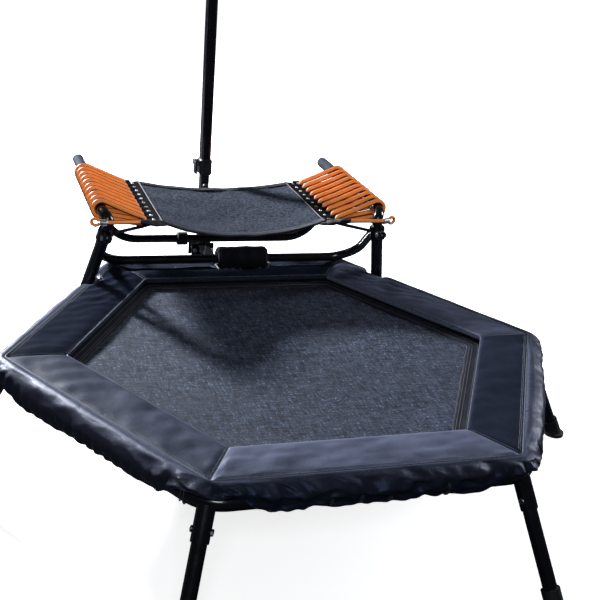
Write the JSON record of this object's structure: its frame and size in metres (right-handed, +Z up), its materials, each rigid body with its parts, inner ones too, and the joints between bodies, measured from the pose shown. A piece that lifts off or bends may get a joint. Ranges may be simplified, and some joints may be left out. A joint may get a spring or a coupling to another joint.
{
  "type": "mini trampoline with step platform",
  "caption": "Hexagonal fitness trampoline with padded cover, bungee-hung raised step platform behind it and a leaning telescopic T handlebar.",
  "frame": {"origin": "on the floor, midway between the left and right feet and midway between the front feet and the rear floor bar; the hexagon's centre is 150 mm in front of it", "axes": "+X to the right, +Y to the rear (step and handlebar side), +Z up"},
  "size_m": [1.6098, 1.701, 1.2752],
  "materials": {
    "gloss_black_paint": "high-gloss black powder coat",
    "foot_rubber": "matt black moulded rubber",
    "bright_fasteners": "zinc-plated steel",
    "woven_mat": "blue-grey woven polypropylene with light flecks",
    "border_webbing": "black sewn webbing",
    "black_elastic": "braided black elastic cord",
    "pad_foam": "closed-cell foam",
    "satin_cover": "coated satin navy-black fabric",
    "grey_cap_plastic": "satin grey moulded plastic",
    "step_felt": "grey-blue felted fabric",
    "orange_cord": "smooth orange elastic cord",
    "chrome_trim": "bright chrome",
    "sleeve_fabric": "black neoprene-like fabric",
    "black_plastic": "semi-gloss black moulded plastic",
    "grip_foam": "black foam"
  },
  "bodies": {
    "frame": {"base_pads": "foot_rubber", "base_plugs": "black_plastic", "base_stand": "gloss_black_paint", "centre_beam": "gloss_black_paint", "clamp_bolts": "bright_fasteners", "clamp_sleeve": "sleeve_fabric", "collar_bolts": "bright_fasteners", "corner_cords": "orange_cord", "corner_crimps": "chrome_trim", "corner_straps": "border_webbing", "cross_tube_ring": "foot_rubber", "front_cross_tube": "gloss_black_paint", "hex_frame": "gloss_black_paint", "leg_bolts": "bright_fasteners", "leg_clamp_straps": "gloss_black_paint", "leg_collars": "gloss_black_paint", "leg_front_left": "gloss_black_paint", "leg_front_right": "gloss_black_paint", "leg_left": "gloss_black_paint", "leg_rear_left": "gloss_black_paint", "leg_rear_right": "gloss_black_paint", "leg_right": "gloss_black_paint", "lower_post": "gloss_black_paint", "mat_bungee_loops": "black_elastic", "pad_cover": "satin_cover", "pad_foam": "pad_foam", "post_bolts": "bright_fasteners", "post_rear_plate": "gloss_black_paint", "rail_end_cap_left": "grey_cap_plastic", "rail_end_cap_right": "grey_cap_plastic", "rear_cross_tube": "gloss_black_paint", "rubber_feet": "foot_rubber", "skirt_elastic": "black_elastic", "step_bungees_left": "orange_cord", "step_bungees_right": "orange_cord", "step_leg_left": "gloss_black_paint", "step_leg_right": "gloss_black_paint", "step_rail_left": "gloss_black_paint", "step_rail_right": "gloss_black_paint", "tube_clamp_front": "gloss_black_paint", "tube_clamp_rear": "gloss_black_paint", "tube_clamp_screws": "bright_fasteners"},
    "jumping_mat": {"jump_mat": "woven_mat", "mat_border": "border_webbing", "mat_rings": "bright_fasteners"},
    "step_platform": {"step_mat": "step_felt", "edge_strip_left": "border_webbing", "edge_strip_right": "border_webbing", "edge_rods": "bright_fasteners", "edge_rivets": "chrome_trim"},
    "handlebar": {"upper_post": "gloss_black_paint", "post_collar": "black_plastic", "lever_pin": "bright_fasteners", "handle_bar": "gloss_black_paint", "handle_plugs": "black_plastic", "foam_grip_left": "grip_foam", "foam_grip_right": "grip_foam"},
    "collar_lever": {"clamp_lever": "black_plastic"},
    "height_pin": {"stop_pin": "black_plastic"}
  },
  "joints": [
    {"name": "mat_bounce", "type": "slide", "parent": "frame", "child": "jumping_mat", "axis": [0, 0, 1], "range_m": [-0.08, 0], "stiffness_N_per_m": 9000, "deforming": ["mat_bungee_loops"]},
    {"name": "step_bounce", "type": "slide", "parent": "frame", "child": "step_platform", "axis": [0, 0, 1], "range_m": [-0.05, 0], "stiffness_N_per_m": 15000, "deforming": ["step_bungees_left", "step_bungees_right", "corner_cords", "corner_straps"]},
    {"name": "handlebar_height", "type": "slide", "parent": "frame", "child": "handlebar", "axis": [0, 0.0892, 0.996], "range_m": [0, 0.25]},
    {"name": "collar_lever_turn", "type": "hinge", "parent": "handlebar", "child": "collar_lever", "pos_m": [-0.0263, 0.7466, 0.48526], "axis": [0, 0.996, -0.0892], "range_deg": [0, 100]},
    {"name": "height_pin_pull", "type": "slide", "parent": "frame", "child": "height_pin", "axis": [0, -0.996, 0.0892], "range_m": [0, 0.055]}
  ]
}
